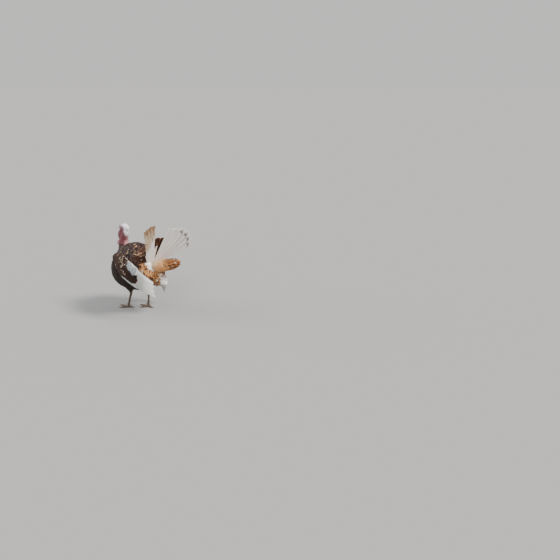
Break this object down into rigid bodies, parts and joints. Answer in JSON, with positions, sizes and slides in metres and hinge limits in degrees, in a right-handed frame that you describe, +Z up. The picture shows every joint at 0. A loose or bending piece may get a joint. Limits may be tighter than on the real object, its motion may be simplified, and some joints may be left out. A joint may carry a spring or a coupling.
{
  "type": "standing domestic tom turkey",
  "caption": "Life-size still model of a tom turkey in mid stride, pied brown, rust and white, its tail half fanned and tipped to one side, wings half lowered.",
  "frame": {"origin": "middle of the bird's box, on the level its feet stand on", "axes": "+Z up; the bird faces -Y, so its own left side is +X"},
  "size_m": [0.494, 0.6474, 0.7585],
  "materials": {
    "dark_feather": "very dark mahogany brown feathers with a soft bronze sheen",
    "rust_feather": "rust brown feathers, satin",
    "buff_feather": "warm buff feathers, matte",
    "cream_feather": "cream feathers mottled with tan, matte",
    "white_feather": "white feathers, matte",
    "pale_skin": "bare bluish white skin, finely wrinkled",
    "pink_skin": "bare pink warty skin",
    "wine_skin": "wine-red folded skin, slightly moist",
    "horn": "dull horn",
    "leg_scale": "dark olive-brown scaled skin",
    "eye": "dark, wet and glossy"
  },
  "bodies": {
    "root": {"trunk": "dark_feather", "thigh_left": "dark_feather", "thigh_right": "dark_feather", "wing_left": "dark_feather", "wing_right": "dark_feather", "beard": "dark_feather", "tail_coverts": "rust_feather", "undertail_coverts": "buff_feather", "tail_left": "cream_feather", "tail_right": "white_feather", "vent_fluff": "white_feather", "flight_feathers_left": "white_feather", "flight_feathers_right": "white_feather", "head": "pale_skin", "neck": "pink_skin", "caruncles": "pink_skin", "snood": "wine_skin", "dewlap": "wine_skin", "beak_upper": "horn", "beak_lower": "horn", "spur_left": "horn", "spur_right": "horn", "shank_left": "leg_scale", "shank_right": "leg_scale", "foot_left": "leg_scale", "foot_right": "leg_scale", "eye_left": "eye", "eye_right": "eye"}
  },
  "joints": []
}
